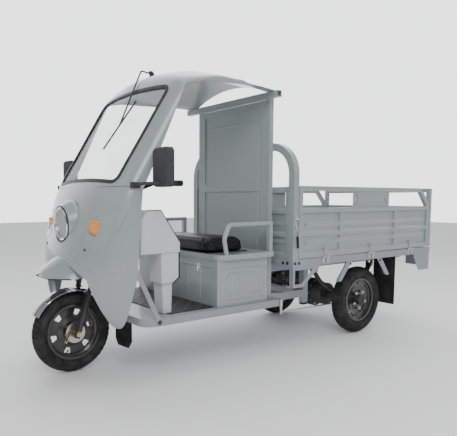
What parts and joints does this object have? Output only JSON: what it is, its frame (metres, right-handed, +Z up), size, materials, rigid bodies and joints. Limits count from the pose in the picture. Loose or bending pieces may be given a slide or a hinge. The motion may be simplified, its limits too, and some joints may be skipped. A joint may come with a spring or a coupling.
{
  "type": "electric cargo tricycle",
  "caption": "Half-open cab over one steered front wheel, with a drop-side cargo bed over a rear axle; wheels roll, bars steer, gates drop and the seat lifts.",
  "frame": {"origin": "on the ground under the middle of the whole machine", "axes": "+X forward, +Y to the rider's left, +Z up"},
  "size_m": [3.2969, 1.374, 1.8814],
  "materials": {
    "cab_paint": "gloss silver-grey enamel",
    "frame_paint": "bluish grey enamel",
    "black_steel": "satin black enamel",
    "tyre": "moulded rubber",
    "rubber": "matt black rubber",
    "glass": "clear laminated",
    "lens": "clear moulded",
    "amber": "amber moulded lens",
    "red_lens": "red moulded lens",
    "black_plastic": "grained black",
    "grey_plastic": "fine-grained grey",
    "chrome": "bright",
    "zinc": "zinc plated",
    "cushion": "black coated cloth",
    "battery": "black case",
    "cast": "black painted casting"
  },
  "bodies": {
    "cab_and_chassis": {"battery_pack": "battery", "bed_brackets": "frame_paint", "brake_linkage": "zinc", "cab_back_panel": "cab_paint", "cab_rear_frame": "cab_paint", "cargo_bed": "frame_paint", "chassis_frame": "frame_paint", "corner_brackets": "frame_paint", "cowl_struts": "frame_paint", "floor_mat": "rubber", "floor_pan": "frame_paint", "front_cowl": "cab_paint", "gate_hinge_leaves": "zinc", "guard_hoop": "cab_paint", "headboard": "cab_paint", "headlamp": "chrome", "headlamp_lens": "lens", "indicators": "amber", "inner_fairing": "grey_plastic", "leaf_springs": "black_steel", "leg_rubbers": "rubber", "mirrors": "black_plastic", "mudflaps": "rubber", "nose_fender": "cab_paint", "rear_axle": "cast", "roof_shell": "cab_paint", "seat_box": "cab_paint", "seat_frame": "cab_paint", "tail_lamps": "red_lens", "windscreen_glass": "glass", "windscreen_seal": "rubber", "wiper": "black_plastic"},
    "steering": {"fork": "black_steel", "front_axle": "zinc", "handlebar": "black_steel", "hand_grips": "rubber", "front_mudguard": "chrome"},
    "front_wheel": {"front_tyre": "tyre", "front_wheel_rim": "black_steel"},
    "rear_wheel_left": {"rear_tyre_left": "tyre", "rear_rim_left": "black_steel"},
    "rear_wheel_right": {"rear_tyre_right": "tyre", "rear_rim_right": "black_steel"},
    "left_gate": {"side_gate_left": "cab_paint"},
    "right_gate": {"side_gate_right": "cab_paint"},
    "tail_gate": {"tailgate": "cab_paint"},
    "seat": {"seat_lid": "black_steel", "seat_cushion": "cushion"}
  },
  "joints": [
    {"name": "steer", "type": "hinge", "parent": "cab_and_chassis", "child": "steering", "pos_m": [1.35794, 0, 0.247], "axis": [-0.309, 0, 0.9511], "range_deg": [-35, 35]},
    {"name": "front_wheel_spin", "type": "hinge", "parent": "steering", "child": "front_wheel", "pos_m": [1.4, 0, 0.247], "axis": [0, 1, 0], "continuous": true},
    {"name": "rear_wheel_left_spin", "type": "hinge", "parent": "cab_and_chassis", "child": "rear_wheel_left", "pos_m": [-0.805, 0.43, 0.26], "axis": [0, 1, 0], "continuous": true},
    {"name": "rear_wheel_right_spin", "type": "hinge", "parent": "cab_and_chassis", "child": "rear_wheel_right", "pos_m": [-0.805, -0.43, 0.26], "axis": [0, 1, 0], "continuous": true},
    {"name": "left_gate_drop", "type": "hinge", "parent": "cab_and_chassis", "child": "left_gate", "pos_m": [-0.7965, 0.566, 0.642], "axis": [-1, 0, 0], "range_deg": [0, 180]},
    {"name": "right_gate_drop", "type": "hinge", "parent": "cab_and_chassis", "child": "right_gate", "pos_m": [-0.7965, -0.566, 0.642], "axis": [1, 0, 0], "range_deg": [0, 180]},
    {"name": "tailgate_drop", "type": "hinge", "parent": "cab_and_chassis", "child": "tail_gate", "pos_m": [-1.644, 0, 0.642], "axis": [0, -1, 0], "range_deg": [0, 180]},
    {"name": "seat_lid_lift", "type": "hinge", "parent": "cab_and_chassis", "child": "seat", "pos_m": [0.3, 0, 0.71], "axis": [0, -1, 0], "range_deg": [0, 75]}
  ]
}
